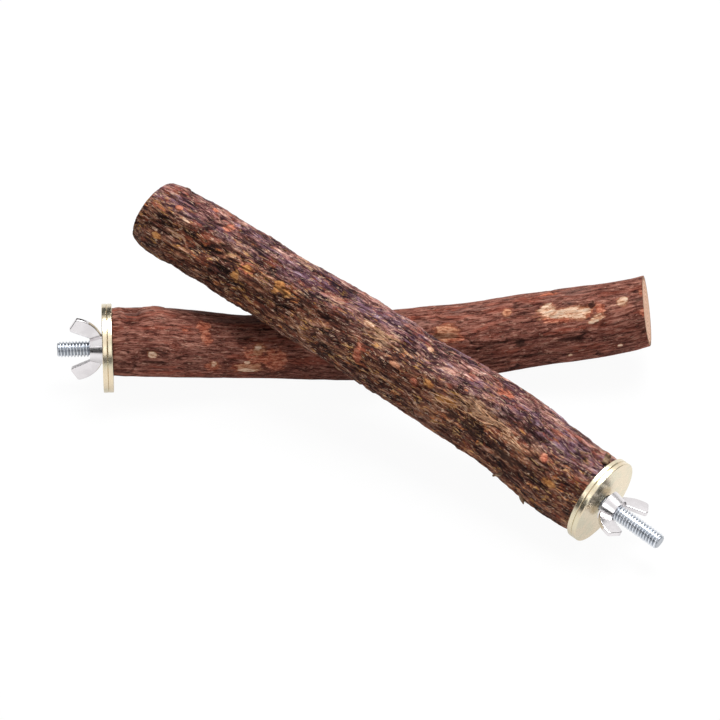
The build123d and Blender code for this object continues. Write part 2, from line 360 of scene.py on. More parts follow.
class Branch:
    """A perch's branch as rings of points read off its solids, with bark coordinates in millimetres."""

    def __init__(self, name):
        self.name = name
        joints = {joint["name"]: joint for joint in frame["record"]["behaviour"]["joints"]}
        spin = joints[f"{name}_inner_washer_spin"]
        self.outward = Vector(spin["axis"]).normalized()
        self.seat = Vector(spin["pos_m"]) - self.outward * WASHER_THICKNESS / 2
        self.into = -self.outward
        self.side = Vector((0, 0, 1)).cross(self.into).normalized()
        self.up = self.into.cross(self.side)
        points, corners = triangles_of(frame["nodes"][f"{name}_bark"].data)
        self.tree = BVHTree.FromPolygons(points.tolist(), corners.tolist())
        self.find_free_end()
        self.angles = np.linspace(0, 2 * math.pi, POINTS_AROUND, endpoint=False)
        self.read_rings()
        self.lay_coordinates()

    def find_free_end(self):
        """Middle and normal of the sawn free end, from the wood's flat face there."""
        points, corners = triangles_of(frame["nodes"][f"{self.name}_wood"].data)
        a, b, c = (points[corners[:, n]] for n in range(3))
        cross = np.cross(b - a, c - a)
        area = np.maximum(np.linalg.norm(cross, axis=1), 1e-15)
        middles = (a + b + c) / 3
        depth = (middles - np.array(self.seat)) @ np.array(self.into)
        chosen = (cross @ np.array(self.into) / area > FACES_END) & (depth > END_DEPTH * depth.max())
        self.end_normal = Vector(cross[chosen].sum(0)).normalized()
        self.end = Vector((middles[chosen] * area[chosen, None]).sum(0) / area[chosen].sum())

    def cast(self, start, way):
        return self.tree.ray_cast(start, way, 2 * RAY_START)[0]

    def read_rings(self):
        """The bark's outer and inner walls, ring by ring, by rays towards and from the branch's middle."""
        self.outer = np.empty((ROWS_ALONG, POINTS_AROUND, 3))
        self.inner = np.empty_like(self.outer)
        self.centres = np.empty((ROWS_ALONG, 3))
        centre = self.seat
        for row, share in enumerate(np.linspace(END_MARGIN, 1 - END_MARGIN, ROWS_ALONG)):
            normal = self.into.lerp(self.end_normal, share).normalized()
            side = self.up.cross(normal).normalized()
            up = normal.cross(side)
            ways = [side * math.cos(angle) + up * math.sin(angle) for angle in self.angles]
            centre = centre + normal * (self.seat.lerp(self.end, share) - centre).dot(normal)
            for _ in range(CENTRE_ROUNDS):
                hits = [self.cast(centre, way) for way in ways[::POINTS_AROUND // CENTRE_RAYS]]
                centre = sum(hits, Vector()) / len(hits)
            self.centres[row] = centre
            self.outer[row] = [self.cast(centre + way * RAY_START, -way) for way in ways]
            self.inner[row] = [self.cast(centre, way) for way in ways]

    def lay_coordinates(self):
        self.away = self.outer - self.centres[:, None, :]
        self.radius = np.linalg.norm(self.away, axis=2)
        self.away /= self.radius[..., None]
        steps = np.linalg.norm(np.diff(self.centres, axis=0), axis=1)
        self.along = np.concatenate([[0], np.cumsum(steps)]) / MM
        self.grain = np.stack([
            np.broadcast_to(self.along[:, None], self.radius.shape),
            self.radius / MM * np.cos(self.angles), self.radius / MM * np.sin(self.angles)], axis=2)
        self.lengthwise = np.gradient(self.outer, axis=0)
        self.lengthwise /= np.linalg.norm(self.lengthwise, axis=2)[..., None]

    def spot(self, pixel):
        """Row and column of the bark's point under a pixel of the photograph."""
        hit = self.tree.ray_cast(*photo_ray(pixel))[0]
        if hit is None:
            raise ValueError(f"no bark at {pixel}")
        gaps = ((self.outer - np.array(hit)) ** 2).sum(2)
        return np.unravel_index(np.argmin(gaps), gaps.shape)

    def cover(self, mark, seed):
        """How much of a mark covers each point: 1 in its middle and 0 outside its ragged edge."""
        row, column = self.spot(mark.pixel)
        lengthwise = self.grain[..., 0] - self.along[row]
        swing = (self.angles - self.angles[column] + math.pi) % (2 * math.pi) - math.pi
        crosswise = swing * self.radius / MM
        turn = math.radians(mark.turn)
        first = (lengthwise * math.cos(turn) + crosswise * math.sin(turn)) / mark.length
        second = (crosswise * math.cos(turn) - lengthwise * math.sin(turn)) / mark.width
        wobble = layered_noise(self.grain, 0.4, 0.7, seed, 4) - 0.5
        return ease(np.hypot(first, second) + wobble * RAGGED_REACH * mark.ragged, *MARK_EDGE)


def bark_piece(branch, relief, values):
    """The bark: its outside, calmer near the sawn rims, and its inner wall, as one closed tube."""
    from_end = np.minimum(branch.along, branch.along[-1] - branch.along)
    relief = relief * (CALM_SHARE + (1 - CALM_SHARE) * ease(from_end, 0, CALM_END))[:, None]
    steps_aside = range(-ROUND_REACH, ROUND_REACH + 1)
    rounded = np.mean([np.roll(branch.radius, step, axis=1) for step in steps_aside], axis=0)
    fill = (rounded - branch.radius) * ease(branch.along[-1] - branch.along, CALM_END, 0)[:, None]
    skin = branch.outer + branch.away * (relief * MM + fill)[..., None]
    skin[..., 2] = np.maximum(skin[..., 2], TABLE_GAP)
    steps = np.linspace(0, 1, RIM_ROWS + 2)[1:-1, None, None]
    end_rim = skin[-1] + (branch.inner[-1] - skin[-1]) * steps
    seat_rim = branch.inner[0] + (skin[0] - branch.inner[0]) * steps
    back = np.linspace(ROWS_ALONG - 1, 0, INNER_ROWS).astype(int)
    rings = np.concatenate([skin, end_rim, branch.inner[back], seat_rim])
    hidden = len(rings) - ROWS_ALONG
    values = {**values, "relief": relief, "cut": np.zeros_like(relief),
              "grain": branch.grain, "lengthwise": branch.lengthwise}
    attributes = {}
    for key, value in values.items():
        rest = np.repeat(value[-1:], hidden, axis=0) if value.ndim == 3 else np.zeros((hidden, POINTS_AROUND))
        if key == "cut":
            rest += 1
        whole = np.concatenate([value, rest])
        attributes[key] = whole.reshape(-1, 3) if whole.ndim == 3 else whole.ravel()
    faces = ring_quads(len(rings), POINTS_AROUND, joined=True)
    return mesh_object(f"{branch.name}_bark_skin", rings, faces, attributes)


def wood_piece(branch):
    """The wood just inside the bark, with a face of growth rings at both sawn ends."""
    wall = branch.inner - branch.away * WOOD_INSET
    rows = np.linspace(0, ROWS_ALONG - 1, INNER_ROWS).astype(int)
    shares = np.linspace(0.02, 1, WOOD_RINGS)[:, None, None]
    seat_face = branch.centres[0] + (wall[0] - branch.centres[0]) * shares
    end_face = branch.centres[-1] + (wall[-1] - branch.centres[-1]) * shares[::-1]
    rings = np.concatenate([seat_face[:-1], wall[rows], end_face[1:]])
    middles = np.concatenate([np.repeat(branch.centres[:1], WOOD_RINGS - 1, axis=0), branch.centres[rows],
                              np.repeat(branch.centres[-1:], WOOD_RINGS - 1, axis=0)])
    count = len(rings) * POINTS_AROUND
    faces = ring_quads(len(rings), POINTS_AROUND, joined=False)
    faces += [list(range(POINTS_AROUND))[::-1], list(range(count - POINTS_AROUND, count))]
    local = (rings - middles[:, None, :]).reshape(-1, 3) / MM
    return mesh_object(f"{branch.name}_sawn_wood", rings, faces, {"grain": local}, smooth=False)


def splinter_piece(branch, splinters):
    """Short twigs that stand out of the bark, each a tapering round stick closed at both ends."""
    right, up, _ = view_axes()
    angles = np.linspace(0, 2 * math.pi, SPLINTER_SIDES, endpoint=False)
    points = []
    faces = []
    for pixel, (across, rise), foot_radius, tip_radius in splinters:
        foot = Vector(branch.outer[branch.spot(pixel)])
        reach = (right * across + up * rise) * METRES_PER_PIXEL
        first = reach.orthogonal().normalized()
        second = reach.normalized().cross(first)
        start = len(points)
        for share in np.linspace(SPLINTER_ROOT, 1, SPLINTER_RINGS):
            radius = (foot_radius + (tip_radius - foot_radius) * max(share, 0)) * MM
            wobble = first * math.sin(share * 5.0) * 0.2 * MM
            middle = foot + reach * share + wobble
            points += [middle + (first * math.cos(angle) + second * math.sin(angle)) * radius
                       for angle in angles]
        count = SPLINTER_RINGS * SPLINTER_SIDES
        quads = ring_quads(SPLINTER_RINGS, SPLINTER_SIDES, joined=False)
        faces += [[start + corner for corner in quad] for quad in quads]
        faces.append([start + corner for corner in range(SPLINTER_SIDES)][::-1])
        faces.append([start + corner for corner in range(count - SPLINTER_SIDES, count)])
    return mesh_object(f"{branch.name}_splinters", np.array([list(point) for point in points]), faces)


# Marks: pale scrapes, rusty and golden patches, worn fibres and dark hollows

KINDS = ("cream", "tan", "rust", "gold", "worn", "dark", "fray", "lump")

REAR_MARKS = [
    Mark("cream", (564, 313), 10.5, 2.3, lift=-0.3, ragged=0.35),
    Mark("cream", (548, 310), 4.4, 2.8, lift=-0.2, ragged=0.45),
    Mark("cream", (580, 313), 4.4, 2.8, lift=-0.2, ragged=0.45),
    Mark("cream", (595, 319), 3.2, 1.5, turn=-20, ragged=0.5),
    Mark("rust", (572, 314), 11.5, 3.3, ragged=0.5),
    Mark("rust", (601, 309), 2.4, 2.4, ragged=0.7),
    Mark("dark", (592, 304), 1.2, 1.3, lift=-0.2, ragged=0.7),
    Mark("cream", (622, 302), 2.3, 2.2, ragged=0.3),
    Mark("tan", (507, 312), 2.1, 2.3, ragged=0.25),
    Mark("cream", (152, 355), 2.0, 1.7, ragged=0.25),
    Mark("dark", (128, 352), 0.6, 0.6, ragged=0.3),
    Mark("rust", (203, 327), 3.0, 2.8, lift=-0.2, ragged=0.4),
    Mark("rust", (206, 338), 2.4, 3.2, lift=-0.2, ragged=0.4),
    Mark("rust", (212, 366), 3.0, 2.8, ragged=0.5),
    Mark("cream", (214, 364), 1.0, 0.9, ragged=0.8),
    Mark("rust", (185, 330), 1.2, 0.9, ragged=0.4),
    Mark("rust", (255, 355), 5.0, 4.2, ragged=0.6),
    Mark("rust", (244, 369), 6.5, 2.6, ragged=0.6),
    Mark("tan", (258, 350), 3.2, 2.0, turn=-35, ragged=0.7),
    Mark("tan", (249, 368), 5.5, 2.4, ragged=0.8),
    Mark("tan", (213, 365), 1.9, 1.8, ragged=0.6),
    Mark("cream", (258, 349), 1.9, 1.2, turn=-35, ragged=0.8),
    Mark("cream", (247, 363), 1.7, 0.9, ragged=0.8),
    Mark("cream", (250, 371), 4.2, 0.9, ragged=0.8),
    Mark("rust", (274, 361), 5.6, 6.0, lift=0.35, ragged=0.3),
    Mark("rust", (446, 334), 6.0, 4.4, ragged=0.3),
    Mark("tan", (446, 333), 5.4, 3.8, ragged=0.4),
    Mark("rust", (457, 338), 3.4, 2.0, ragged=0.6),
    Mark("dark", (519, 344), 2.2, 2.2, lift=-0.2, ragged=0.9),
    Mark("rust", (548, 294), 3.4, 1.2, ragged=0.7),
    Mark("cream", (571, 355), 1.1, 0.8, ragged=0.3),
    Mark("cream", (620, 346), 1.2, 0.8, ragged=0.3),
    Mark("rust", (641, 292), 1.4, 2.2, ragged=0.6),
    Mark("rust", (644, 313), 1.6, 1.8, ragged=0.6),
    Mark("lump", (117, 312), 2.6, 6.0, lift=0.9, ragged=0.2),
    Mark("lump", (131, 316), 3.6, 6.0, lift=-0.9, ragged=0.2),
    Mark("lump", (156, 313), 5.5, 6.0, lift=1.1, ragged=0.2),
]

FRONT_MARKS = [
    Mark("lump", (243, 227), 3.0, 3.4, lift=0.6, ragged=0.3),
    Mark("rust", (179, 208), 1.9, 1.6, ragged=0.4),
    Mark("rust", (229, 228), 2.0, 3.0, ragged=0.5),
    Mark("rust", (216, 211), 1.6, 1.4, ragged=0.6),
    Mark("cream", (184, 219), 3.2, 0.6, turn=6, ragged=0.3),
    Mark("gold", (157, 236), 2.0, 1.2, ragged=0.6),
    Mark("gold", (234, 276), 2.3, 2.2, ragged=0.5),
    Mark("gold", (247, 269), 2.4, 1.8, ragged=0.5),
    Mark("gold", (281, 288), 3.8, 3.0, ragged=0.8),
    Mark("rust", (247, 269), 3.4, 2.6, ragged=0.8),
    Mark("worn", (310, 265), 6.5, 3.4, ragged=0.6),
    Mark("worn", (335, 300), 5.0, 2.0, ragged=0.9),
    Mark("cream", (369, 324), 2.6, 0.9, ragged=0.7),
    Mark("worn", (380, 337), 7.0, 2.6, ragged=0.7),
    Mark("rust", (357, 354), 1.7, 4.4, turn=-24, ragged=0.45),
    Mark("tan", (394, 364), 2.4, 1.0, ragged=0.5),
    Mark("cream", (431, 349), 1.5, 1.2, ragged=0.4),
    Mark("rust", (413, 382), 1.8, 1.6, ragged=0.4),
    Mark("gold", (428, 384), 2.8, 1.3, ragged=0.6),
    Mark("gold", (447, 402), 5.0, 1.5, lift=0.3, ragged=0.6),
    Mark("worn", (482, 412), 8.5, 3.2, lift=0.3, ragged=0.6),
    Mark("worn", (510, 438), 7.0, 1.6, turn=14, lift=0.3, ragged=0.6),
    Mark("fray", (482, 412), 8.5, 3.6, ragged=0.3),
    Mark("fray", (508, 434), 8.0, 2.2, turn=14, ragged=0.3),
    Mark("fray", (446, 402), 6.0, 1.6, ragged=0.3),
    Mark("fray", (378, 334), 7.0, 3.0, ragged=0.3),
    Mark("dark", (475, 432), 7.0, 2.4, lift=-0.4, ragged=0.9),
    Mark("dark", (454, 416), 3.4, 1.4, lift=-0.3, ragged=0.9),
    Mark("dark", (505, 455), 7.0, 2.0, ragged=1.0),
    Mark("rust", (544, 459), 2.0, 2.0, ragged=0.4),
    Mark("gold", (548, 482), 3.0, 1.1, ragged=0.7),
    Mark("rust", (506, 393), 3.4, 3.4, ragged=0.9),
]

# Twigs that stand out of the front bark: pixel of the foot, reach in pixels right and up, radii at both ends
SPLINTERS = [
    ((501, 473), (-8.0, -3.0), 0.7, 0.4),
    ((522, 497), (1.0, -7.0), 1.2, 0.2),
    ((606, 461), (3.0, 7.0), 1.35, 1.2),
]

# Direction of the side of both branches that gets painted sheen: there the bark colours turn paler and
# greyer, a lit copy standing for the sky's reflection
PAINTED_SHEEN_SIDE = np.array((0.52, 0.62, 0.58))


def marks_on(branch, marks):
    """One array for each kind of mark, and the lift that the marks give to the bark."""
    values = {kind: np.zeros_like(branch.radius) for kind in KINDS}
    lift = np.zeros_like(branch.radius)
    for number, mark in enumerate(marks):
        share = branch.cover(mark, MARK_SEED + number)
        values[mark.kind] = np.maximum(values[mark.kind], share)
        lift += share * mark.lift
    # Painted sheen mask: 1 on the side turned up, right and back, where the bark gets its paler lit colours
    values["weather"] = ease(branch.away @ PAINTED_SHEEN_SIDE, -0.1, 0.6)
    return values, lift


def rear_relief(branch):
    """Smooth bark: long low waves, fine lengthwise ridges and hairline cracks."""
    grain = branch.grain
    waves = layered_noise(grain, 0.035, 0.09, 11, 2) - 0.5
    ridges = layered_noise(grain, 0.08, 0.75, 12) - 0.5
    line = np.abs(grain_noise(grain, 0.06, 0.45, 15) - 0.5)
    cracks = ease(line, 0.06, 0.0) * ease(grain_noise(grain, 0.05, 0.15, 16), 0.3, 0.6)
    return waves * 1.1 + ridges * 0.6 - cracks * 0.4, cracks


def front_relief(branch):
    """Rough bark: broken ridges, furrows and small scales."""
    grain = branch.grain
    waves = layered_noise(grain, 0.04, 0.08, 31, 2) - 0.5
    plates = layered_noise(grain, 0.10, 0.38, 32) - 0.5
    scales = layered_noise(grain, 0.40, 1.0, 33, 2) - 0.5
    line = np.abs(layered_noise(grain, 0.10, 0.36, 35, 2) - 0.5)
    cracks = ease(line, 0.07, 0.0) * ease(grain_noise(grain, 0.10, 0.14, 36), 0.35, 0.6)
    return waves * 0.5 + plates * 1.4 + scales * 0.9 - cracks * 0.6, cracks


# Finishes

MARK_COLOURS = {
    "rust": (2.6, 0.85, (0.18, 0.042, 0.026), (0.53, 0.140, 0.075), (0.78, 0.36, 0.230)),
    "gold": (3.2, 0.90, (0.24, 0.080, 0.022), (0.55, 0.22, 0.066), (0.76, 0.41, 0.160)),
    "tan": (2.0, 0.85, (0.30, 0.095, 0.050), (0.60, 0.250, 0.135), (0.82, 0.47, 0.300)),
    "cream": (1.9, 0.95, (0.48, 0.19, 0.095), (0.85, 0.54, 0.360), (0.96, 0.75, 0.580)),
    "dark": (4.0, 0.55, (0.014, 0.006, 0.005), (0.024, 0.010, 0.008), (0.12, 0.05, 0.034)),
}


def lay_marks(make, grain, base):
    """The marks: a stained rim, then the bare patch, both torn along the fibres."""
    fibre = make.noise(grain, 0.34, 0.9, detail=6.0, roughness=0.78, shift=7.0)
    streaks = make.noise(grain, 0.09, 1.3, detail=4.0, roughness=0.65, shift=41.0)
    worn = (make.attribute("worn") + (fibre - 0.5) * 1.4).ramp(0.2, 0.7) * streaks.ramp(0.46, 0.55)
    base = make.blend(worn * 0.75, base, make.colours(
        fibre, (0.42, (0.22, 0.09, 0.048)), (0.60, (0.80, 0.51, 0.32))))
    for kind, (torn, strength, low, middle, high) in MARK_COLOURS.items():
        place = make.attribute(kind)
        place = place + (fibre - 0.5) * torn * place.ramp(0.0, 0.3)
        base = make.blend(place.ramp(0.15, 0.60) * 0.6, base, rgb(*low))
        colour = make.colours(fibre, (0.40, low), (0.49, middle), (0.62, high))
        base = make.blend(place.ramp(0.50, 0.85) * strength, base, colour)
    crack = make.attribute("crack") * (1.0 - make.attribute("cream"))
    base = make.blend(crack * 0.75, base, rgb(0.016, 0.006, 0.005))
    inner = make.colours(fibre, (0.42, (0.20, 0.095, 0.06)), (0.56, (0.56, 0.33, 0.21)))
    return make.blend(make.attribute("cut"), base, inner)


def contour(value, width):
    """1 along the thin wandering lines where a noise passes its middle."""
    return (value - 0.5).math("ABSOLUTE").ramp(width, 0.0)


def rear_bark_finish():
    """Reddish brown bark with fine dark fissures along the grain; grey patches on its upper side are painted
    sheen.
    """
    make = Finish("rear_bark")
    grain = make.warped(make.attribute("grain", "Vector"), 0.10, 2.0)
    fine = make.noise(grain, 0.16, 0.95, detail=6.0, roughness=0.8)
    tone = fine + make.attribute("relief") * 0.05
    base = make.colours(
        tone, (0.36, (0.036, 0.010, 0.007)), (0.45, (0.150, 0.046, 0.033)),
        (0.53, (0.290, 0.110, 0.080)), (0.62, (0.45, 0.205, 0.150)), (0.72, (0.68, 0.40, 0.30)))
    red = make.noise(grain, 0.05, 0.3, detail=4.0, shift=11.0).ramp(0.50, 0.66)
    base = make.blend(red * 0.5, base, rgb(0.36, 0.085, 0.050))
    # Painted sheen: grey patches lighten the bark on its upper side
    grey = make.noise(grain, 0.05, 0.3, detail=4.0, shift=17.0).ramp(0.52, 0.66)
    base = make.blend(grey * make.attribute("weather") * 0.45, base, rgb(0.30, 0.18, 0.15))
    fissure = contour(make.noise(grain, 0.09, 0.7, detail=4.0, shift=23.0), 0.026)
    base = make.blend(fissure * 0.8, base, rgb(0.024, 0.008, 0.006))
    specks = make.noise(grain, 0.4, 1.0, detail=3.0, shift=29.0).ramp(0.61, 0.68)
    base = make.blend(specks * 0.5, base, rgb(0.64, 0.35, 0.25))
    base = lay_marks(make, grain, base)
    return make.set(Base_Color=base, Roughness=fine * 0.25 + 0.65, Specular_IOR_Level=0.08,
                    Normal=make.bump(fine - fissure * 0.3, 0.9, 1.0 * MM))


def front_bark_finish():
    """Dark rough bark with ochre flecks and pale fibres, partly painted glints; its upper side has painted
    sheen.
    """
    make = Finish("front_bark")
    grain = make.warped(make.attribute("grain", "Vector"), 0.13, 2.4)
    weather = make.attribute("weather")
    streaks = make.noise(grain, 0.13, 1.0, detail=4.0, roughness=0.68)
    scales = make.noise(grain, 0.13, 0.42, detail=6.0, roughness=0.78, shift=61.0)
    broad = make.noise(grain, 0.05, 0.14, detail=3.0, roughness=0.6, shift=3.0)
    fine = streaks * 0.55 + scales * 0.45
    tone = (fine - 0.5) * 1.35 + (broad - 0.5) * 0.35 + 0.5 + make.attribute("relief") * 0.06
    # A shaded and a lit copy of one bark colour, mixed by side: the paler purple-grey copy is painted sheen
    # on the upper side
    dark = make.colours(
        tone, (0.36, (0.010, 0.004, 0.004)), (0.46, (0.070, 0.022, 0.015)),
        (0.53, (0.165, 0.058, 0.034)), (0.61, (0.38, 0.170, 0.096)), (0.72, (0.76, 0.49, 0.31)))
    pale = make.colours(
        tone, (0.36, (0.026, 0.009, 0.011)), (0.46, (0.125, 0.047, 0.044)),
        (0.53, (0.310, 0.136, 0.122)), (0.61, (0.58, 0.315, 0.262)), (0.72, (0.95, 0.70, 0.57)))
    base = make.blend(weather, dark, pale)
    # Purple-blue tint: partly the bark's own colour in patches, partly painted sky sheen, stronger on the
    # upper side
    purple = make.noise(grain, 0.045, 0.14, detail=5.0, roughness=0.7, shift=31.0).ramp(0.45, 0.55)
    base = make.blend(purple * (weather * 0.45 + 0.5), base, rgb(0.38, 0.40, 0.66), "MULTIPLY")
    red = make.noise(grain, 0.10, 0.3, detail=6.0, roughness=0.75, shift=37.0).ramp(0.53, 0.63)
    base = make.blend(red * 0.5, base, rgb(0.36, 0.085, 0.042))
    golden = make.noise(grain, 0.05, 0.13, detail=3.0, shift=53.0).ramp(0.42, 0.60)
    ochre = make.noise(grain, 0.20, 1.1, detail=4.0, roughness=0.7, shift=5.0)
    ochre = (ochre + golden * 0.06).ramp(0.60, 0.66)
    hue = make.noise(grain, 0.12, 0.3, detail=2.0, shift=9.0)
    flecks = make.colours(hue, (0.42, (0.60, 0.29, 0.075)), (0.50, (0.74, 0.45, 0.22)),
                          (0.58, (0.62, 0.21, 0.07)))
    # The ochre flecks fade where the painted sheen lies on the upper side
    base = make.blend(ochre * (0.9 - weather * 0.5), base, flecks)
    # Pale fibre dashes: partly the bark's own fibres, partly painted glints of light
    dashes = make.noise(grain, 0.42, 0.7, detail=2.0, shift=47.0).ramp(0.46, 0.56)
    fibres = contour(make.noise(grain, 0.09, 1.0, detail=2.0, roughness=0.5, shift=13.0), 0.03) * dashes
    base = make.blend(fibres * 0.75, base, rgb(0.82, 0.56, 0.40))
    furrows = contour(make.noise(grain, 0.07, 0.34, detail=6.0, roughness=0.7, shift=19.0), 0.022)
    base = make.blend(furrows * 0.85, base, rgb(0.012, 0.005, 0.005))
    base = lay_marks(make, grain, base)
    return make.set(Base_Color=base, Roughness=fine * 0.25 + 0.62, Specular_IOR_Level=0.12,
                    Normal=make.bump(fine + fibres * 0.1 - furrows * 0.12, 1.0, 1.1 * MM))


def sawn_wood_finish():
    """Sawn end: growth rings about the pith, and open pores."""
    make = Finish("sawn_branch_wood")
    place = make.attribute("grain", "Vector")
    reach = make.add("ShaderNodeVectorMath", {"operation": "LENGTH"}, {0: place}, out="Value")
    waver = make.noise(place, 0.35, 0.35, detail=2.0)
    rings = ((reach + waver * 3.0) * 3.9).math("SINE") * 0.5 + 0.5
    pores = make.noise(place, 5.0, 5.0, detail=4.0, roughness=0.7)
    tone = rings * 0.4 + pores * 0.6
    base = make.colours(
        tone, (0.25, (0.40, 0.18, 0.10)), (0.5, (0.64, 0.36, 0.23)), (0.75, (0.82, 0.54, 0.38)))
    return make.set(Base_Color=base, Roughness=0.8, Normal=make.bump(tone, 0.4, 0.2 * MM))


def strand_finish():
    """Dry straw-coloured fibres."""
    make = Finish("bark_fibre")
    place = make.add("ShaderNodeTexCoord", out="Object")
    tone = make.noise(place, 700.0, 700.0, detail=2.0)
    base = make.colours(
        tone, (0.3, (0.30, 0.125, 0.060)), (0.5, (0.58, 0.315, 0.165)), (0.7, (0.82, 0.55, 0.35)))
    return make.set(Base_Color=base, Roughness=0.75)


def twig_finish():
    """Weathered grey-brown twig ends."""
    make = Finish("dry_twig")
    place = make.add("ShaderNodeTexCoord", out="Object")
    tone = make.noise(place, 500.0, 500.0, detail=4.0)
    base = make.colours(
        tone, (0.35, (0.07, 0.040, 0.026)), (0.5, (0.22, 0.135, 0.085)), (0.68, (0.46, 0.32, 0.21)))
    return make.set(Base_Color=base, Roughness=0.8, Specular_IOR_Level=0.12)


def plated_finish(name, tone, tint, roughness, threaded=False):
    """Plated steel: bright metal with faint tinted clouds and fine wear, and painted shade in the thread
    roots.
    """
    make = Finish(name)
    place = make.add("ShaderNodeTexCoord", out="Object")
    clouds = make.noise(place, 160.0, 160.0, detail=2.0)
    wear = make.noise(place, 900.0, 900.0, detail=4.0, roughness=0.7)
    base = make.blend(clouds.ramp(0.42, 0.62), rgb(*tone), rgb(*tint))
    if threaded:
        # Painted shade: the thread roots turn dark grey
        base = make.blend(make.attribute("ridge").ramp(0.75, 0.15) * 0.75, base, rgb(0.30, 0.32, 0.35))
    return make.set(Base_Color=base, Metallic=1.0, Roughness=wear * 0.16 + roughness,
                    Normal=make.bump(wear, 0.08, 0.05 * MM))


# Geometry trees: the helical threads and the frayed fibres

def new_tree(name, inputs):
    """A geometry tree with named inputs; returns its recipe and the inputs as values."""
    tree = bpy.data.node_groups.new(name, "GeometryNodeTree")
    for label, (kind, default) in inputs.items():
        socket = tree.interface.new_socket(label, in_out="INPUT", socket_type=kind)
        if default is not None:
            socket.default_value = default
    tree.interface.new_socket("Geometry", in_out="OUTPUT", socket_type="NodeSocketGeometry")
    make = Recipe(tree)
    source = tree.nodes.new("NodeGroupInput")
    return make, {label: Value(make, source.outputs[label]) for label in inputs}


def close_tree(make, geometry, material):
    real = make.add("GeometryNodeRealizeInstances", None, {"Geometry": geometry})
    smooth = make.add("GeometryNodeSetShadeSmooth", None, {"Geometry": real})
    painted = make.add("GeometryNodeSetMaterial", None, {"Geometry": smooth, "Material": material})
    sink = make.tree.nodes.new("NodeGroupOutput")
    make.tree.links.new(painted.socket, sink.inputs["Geometry"])
    return make.tree


def grown(carrier, tree, settings):
    """The plain mesh that a tree makes on a carrier object, with inputs set by identifier."""
    modifier = carrier.modifiers.new(tree.name, "NODES")
    modifier.node_group = tree
    names = {item.name: item.identifier for item in tree.interface.items_tree if item.in_out == "INPUT"}
    for label, value in settings.items():
        modifier[names[label]] = value
    seen = carrier.evaluated_get(bpy.context.evaluated_depsgraph_get())
    mesh = bpy.data.meshes.new_from_object(seen)
    carrier.modifiers.remove(modifier)
    return mesh


def thread_tree():
    """A round bar along +X with a right-hand helical thread, closed at both ends."""
    make, given = new_tree("helical_thread", {
        "Length": ("NodeSocketFloat", 0.03), "Pitch": ("NodeSocketFloat", 0.001),
        "Crest Radius": ("NodeSocketFloat", 0.003), "Depth": ("NodeSocketFloat", 0.0006),
        "Start Radius": ("NodeSocketFloat", 0.01), "Start Slope": ("NodeSocketFloat", 1.0),
        "Tip Radius": ("NodeSocketFloat", 0.01), "Rows": ("NodeSocketInt", 400),
        "Material": ("NodeSocketMaterial", None)})
    grid = make.add("GeometryNodeMeshGrid", None, {
        "Size X": 1.0, "Size Y": 1.0, "Vertices X": given["Rows"], "Vertices Y": THREAD_COLUMNS})
    place = make.add("GeometryNodeInputPosition")
    split = [make.add("ShaderNodeSeparateXYZ", None, {0: place}, out=axis) for axis in ("X", "Y")]
    length = given["Length"]
    run = (split[0] + 0.5) * (length + 2 * THREAD_CAP) - THREAD_CAP
    axial = run.math("MAXIMUM", 0.0).math("MINIMUM", length)
    closing = (run + THREAD_CAP).math("MINIMUM", length + THREAD_CAP - run) / THREAD_CAP
    phase = (axial / given["Pitch"] - split[1]).math("FRACT")
    ridge = (1.0 - (2.0 * phase - 1.0).math("ABSOLUTE")) * 1.5 - 0.2
    radius = given["Crest Radius"] - given["Depth"] * (1.0 - ridge.clamped())
    radius = radius.math("MINIMUM", given["Tip Radius"] + length - axial)
    radius = radius.math("MINIMUM", given["Start Radius"] + given["Start Slope"] * axial)
    radius = radius * closing.clamped()
    angle = split[1] * (2 * math.pi)
    around = make.add("ShaderNodeCombineXYZ", None, {
        "X": axial, "Y": radius * angle.math("COSINE"), "Z": radius * angle.math("SINE")})
    bar = make.add("GeometryNodeSetPosition", None, {"Geometry": grid, "Position": around})
    bar = make.add("GeometryNodeMergeByDistance", None, {"Geometry": bar, "Distance": 1e-6})
    return close_tree(make, bar, given["Material"])


